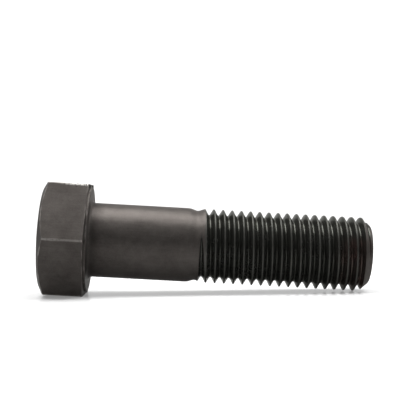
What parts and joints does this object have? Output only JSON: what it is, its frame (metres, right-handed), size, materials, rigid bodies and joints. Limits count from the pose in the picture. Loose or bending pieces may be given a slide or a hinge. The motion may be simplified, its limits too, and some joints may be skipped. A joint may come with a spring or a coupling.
{
  "type": "hex bolt",
  "caption": "Hexagon head bolt with a washer face, plain shank, necked run-out and coarse right-hand thread, for clamping parts with a nut or a tapped hole.",
  "frame": {"origin": "centre of the under-head bearing face, on the bolt axis", "axes": "+X along the shank to the point, +Z square to a wrench flat, +Y towards a corner of the hexagon"},
  "size_m": [0.0883, 0.0342, 0.0296],
  "materials": {
    "black_steel": "satin"
  },
  "bodies": {
    "root": {"bolt": "black_steel"}
  },
  "joints": []
}
